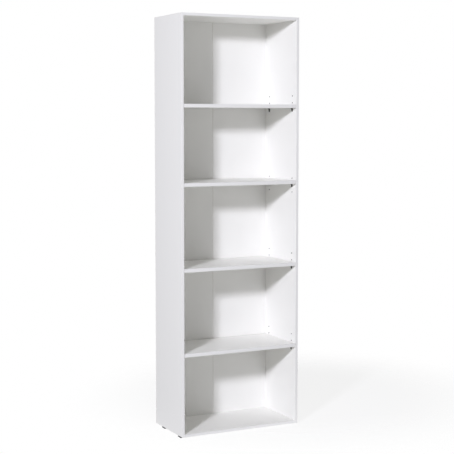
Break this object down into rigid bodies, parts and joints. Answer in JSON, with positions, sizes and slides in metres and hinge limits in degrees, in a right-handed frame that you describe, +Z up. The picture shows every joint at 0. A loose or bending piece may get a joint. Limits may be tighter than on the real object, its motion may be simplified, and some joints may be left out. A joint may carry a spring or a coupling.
{
  "type": "bookcase with adjustable shelves",
  "caption": "Tall narrow open bookcase: flat-pack board case, thin folded back, loose shelves on plug-in supports in rows of pin holes, low nail-on glides.",
  "frame": {"origin": "on the floor under the middle of the case", "axes": "+Z up, the open front faces -Y, +X to the right seen from the front"},
  "size_m": [0.598, 0.3, 1.905],
  "materials": {
    "white_board": "white melamine-faced chipboard, satin, fine texture",
    "white_back": "hardboard, white lacquered face, bare brown rear",
    "black_plastic": "moulded black, satin",
    "zinc": "bright zinc plate and die-cast zinc",
    "beech": "fluted beech, bare"
  },
  "bodies": {
    "case": {"side_panel_left": "white_board", "side_panel_right": "white_board", "bottom_panel": "white_board", "top_panel": "white_board", "back_panel_left": "white_back", "back_panel_right": "white_back", "cam_bolt_bottom_left_front": "zinc", "cam_lock_bottom_left_front": "zinc", "dowel_bottom_left_front": "beech", "cam_bolt_bottom_left_rear": "zinc", "cam_lock_bottom_left_rear": "zinc", "dowel_bottom_left_rear": "beech", "cam_bolt_bottom_right_front": "zinc", "cam_lock_bottom_right_front": "zinc", "dowel_bottom_right_front": "beech", "cam_bolt_bottom_right_rear": "zinc", "cam_lock_bottom_right_rear": "zinc", "dowel_bottom_right_rear": "beech", "cam_bolt_top_left_front": "zinc", "cam_lock_top_left_front": "zinc", "dowel_top_left_front": "beech", "cam_bolt_top_left_rear": "zinc", "cam_lock_top_left_rear": "zinc", "dowel_top_left_rear": "beech", "cam_bolt_top_right_front": "zinc", "cam_lock_top_right_front": "zinc", "dowel_top_right_front": "beech", "cam_bolt_top_right_rear": "zinc", "cam_lock_top_right_rear": "zinc", "dowel_top_right_rear": "beech", "glide_left_front": "black_plastic", "glide_left_rear": "black_plastic", "glide_right_front": "black_plastic", "glide_right_rear": "black_plastic"},
    "shelf_1": {"shelf_1": "white_board"},
    "shelf_2": {"shelf_2": "white_board"},
    "shelf_3": {"shelf_3": "white_board"},
    "shelf_4": {"shelf_4": "white_board"},
    "support_1_left_front": {"support_1_left_front": "black_plastic"},
    "support_1_left_rear": {"support_1_left_rear": "black_plastic"},
    "support_1_right_front": {"support_1_right_front": "black_plastic"},
    "support_1_right_rear": {"support_1_right_rear": "black_plastic"},
    "support_2_left_front": {"support_2_left_front": "black_plastic"},
    "support_2_left_rear": {"support_2_left_rear": "black_plastic"},
    "support_2_right_front": {"support_2_right_front": "black_plastic"},
    "support_2_right_rear": {"support_2_right_rear": "black_plastic"},
    "support_3_left_front": {"support_3_left_front": "black_plastic"},
    "support_3_left_rear": {"support_3_left_rear": "black_plastic"},
    "support_3_right_front": {"support_3_right_front": "black_plastic"},
    "support_3_right_rear": {"support_3_right_rear": "black_plastic"},
    "support_4_left_front": {"support_4_left_front": "black_plastic"},
    "support_4_left_rear": {"support_4_left_rear": "black_plastic"},
    "support_4_right_front": {"support_4_right_front": "black_plastic"},
    "support_4_right_rear": {"support_4_right_rear": "black_plastic"}
  },
  "joints": [
    {"name": "shelf_1_lift", "type": "slide", "parent": "case", "child": "shelf_1", "axis": [0, 0, 1], "range_m": [0, 0.064]},
    {"name": "shelf_2_lift", "type": "slide", "parent": "case", "child": "shelf_2", "axis": [0, 0, 1], "range_m": [0, 0.032]},
    {"name": "shelf_3_lift", "type": "slide", "parent": "case", "child": "shelf_3", "axis": [0, 0, 1], "range_m": [0, 0.064]},
    {"name": "shelf_4_lift", "type": "slide", "parent": "case", "child": "shelf_4", "axis": [0, 0, 1], "range_m": [0, 0.064]},
    {"name": "support_1_left_front_pull", "type": "slide", "parent": "case", "child": "support_1_left_front", "axis": [1, 0, 0], "range_m": [0, 0.009]},
    {"name": "support_1_left_rear_pull", "type": "slide", "parent": "case", "child": "support_1_left_rear", "axis": [1, 0, 0], "range_m": [0, 0.009]},
    {"name": "support_1_right_front_pull", "type": "slide", "parent": "case", "child": "support_1_right_front", "axis": [-1, 0, 0], "range_m": [0, 0.009]},
    {"name": "support_1_right_rear_pull", "type": "slide", "parent": "case", "child": "support_1_right_rear", "axis": [-1, 0, 0], "range_m": [0, 0.009]},
    {"name": "support_2_left_front_pull", "type": "slide", "parent": "case", "child": "support_2_left_front", "axis": [1, 0, 0], "range_m": [0, 0.009]},
    {"name": "support_2_left_rear_pull", "type": "slide", "parent": "case", "child": "support_2_left_rear", "axis": [1, 0, 0], "range_m": [0, 0.009]},
    {"name": "support_2_right_front_pull", "type": "slide", "parent": "case", "child": "support_2_right_front", "axis": [-1, 0, 0], "range_m": [0, 0.009]},
    {"name": "support_2_right_rear_pull", "type": "slide", "parent": "case", "child": "support_2_right_rear", "axis": [-1, 0, 0], "range_m": [0, 0.009]},
    {"name": "support_3_left_front_pull", "type": "slide", "parent": "case", "child": "support_3_left_front", "axis": [1, 0, 0], "range_m": [0, 0.009]},
    {"name": "support_3_left_rear_pull", "type": "slide", "parent": "case", "child": "support_3_left_rear", "axis": [1, 0, 0], "range_m": [0, 0.009]},
    {"name": "support_3_right_front_pull", "type": "slide", "parent": "case", "child": "support_3_right_front", "axis": [-1, 0, 0], "range_m": [0, 0.009]},
    {"name": "support_3_right_rear_pull", "type": "slide", "parent": "case", "child": "support_3_right_rear", "axis": [-1, 0, 0], "range_m": [0, 0.009]},
    {"name": "support_4_left_front_pull", "type": "slide", "parent": "case", "child": "support_4_left_front", "axis": [1, 0, 0], "range_m": [0, 0.009]},
    {"name": "support_4_left_rear_pull", "type": "slide", "parent": "case", "child": "support_4_left_rear", "axis": [1, 0, 0], "range_m": [0, 0.009]},
    {"name": "support_4_right_front_pull", "type": "slide", "parent": "case", "child": "support_4_right_front", "axis": [-1, 0, 0], "range_m": [0, 0.009]},
    {"name": "support_4_right_rear_pull", "type": "slide", "parent": "case", "child": "support_4_right_rear", "axis": [-1, 0, 0], "range_m": [0, 0.009]}
  ]
}
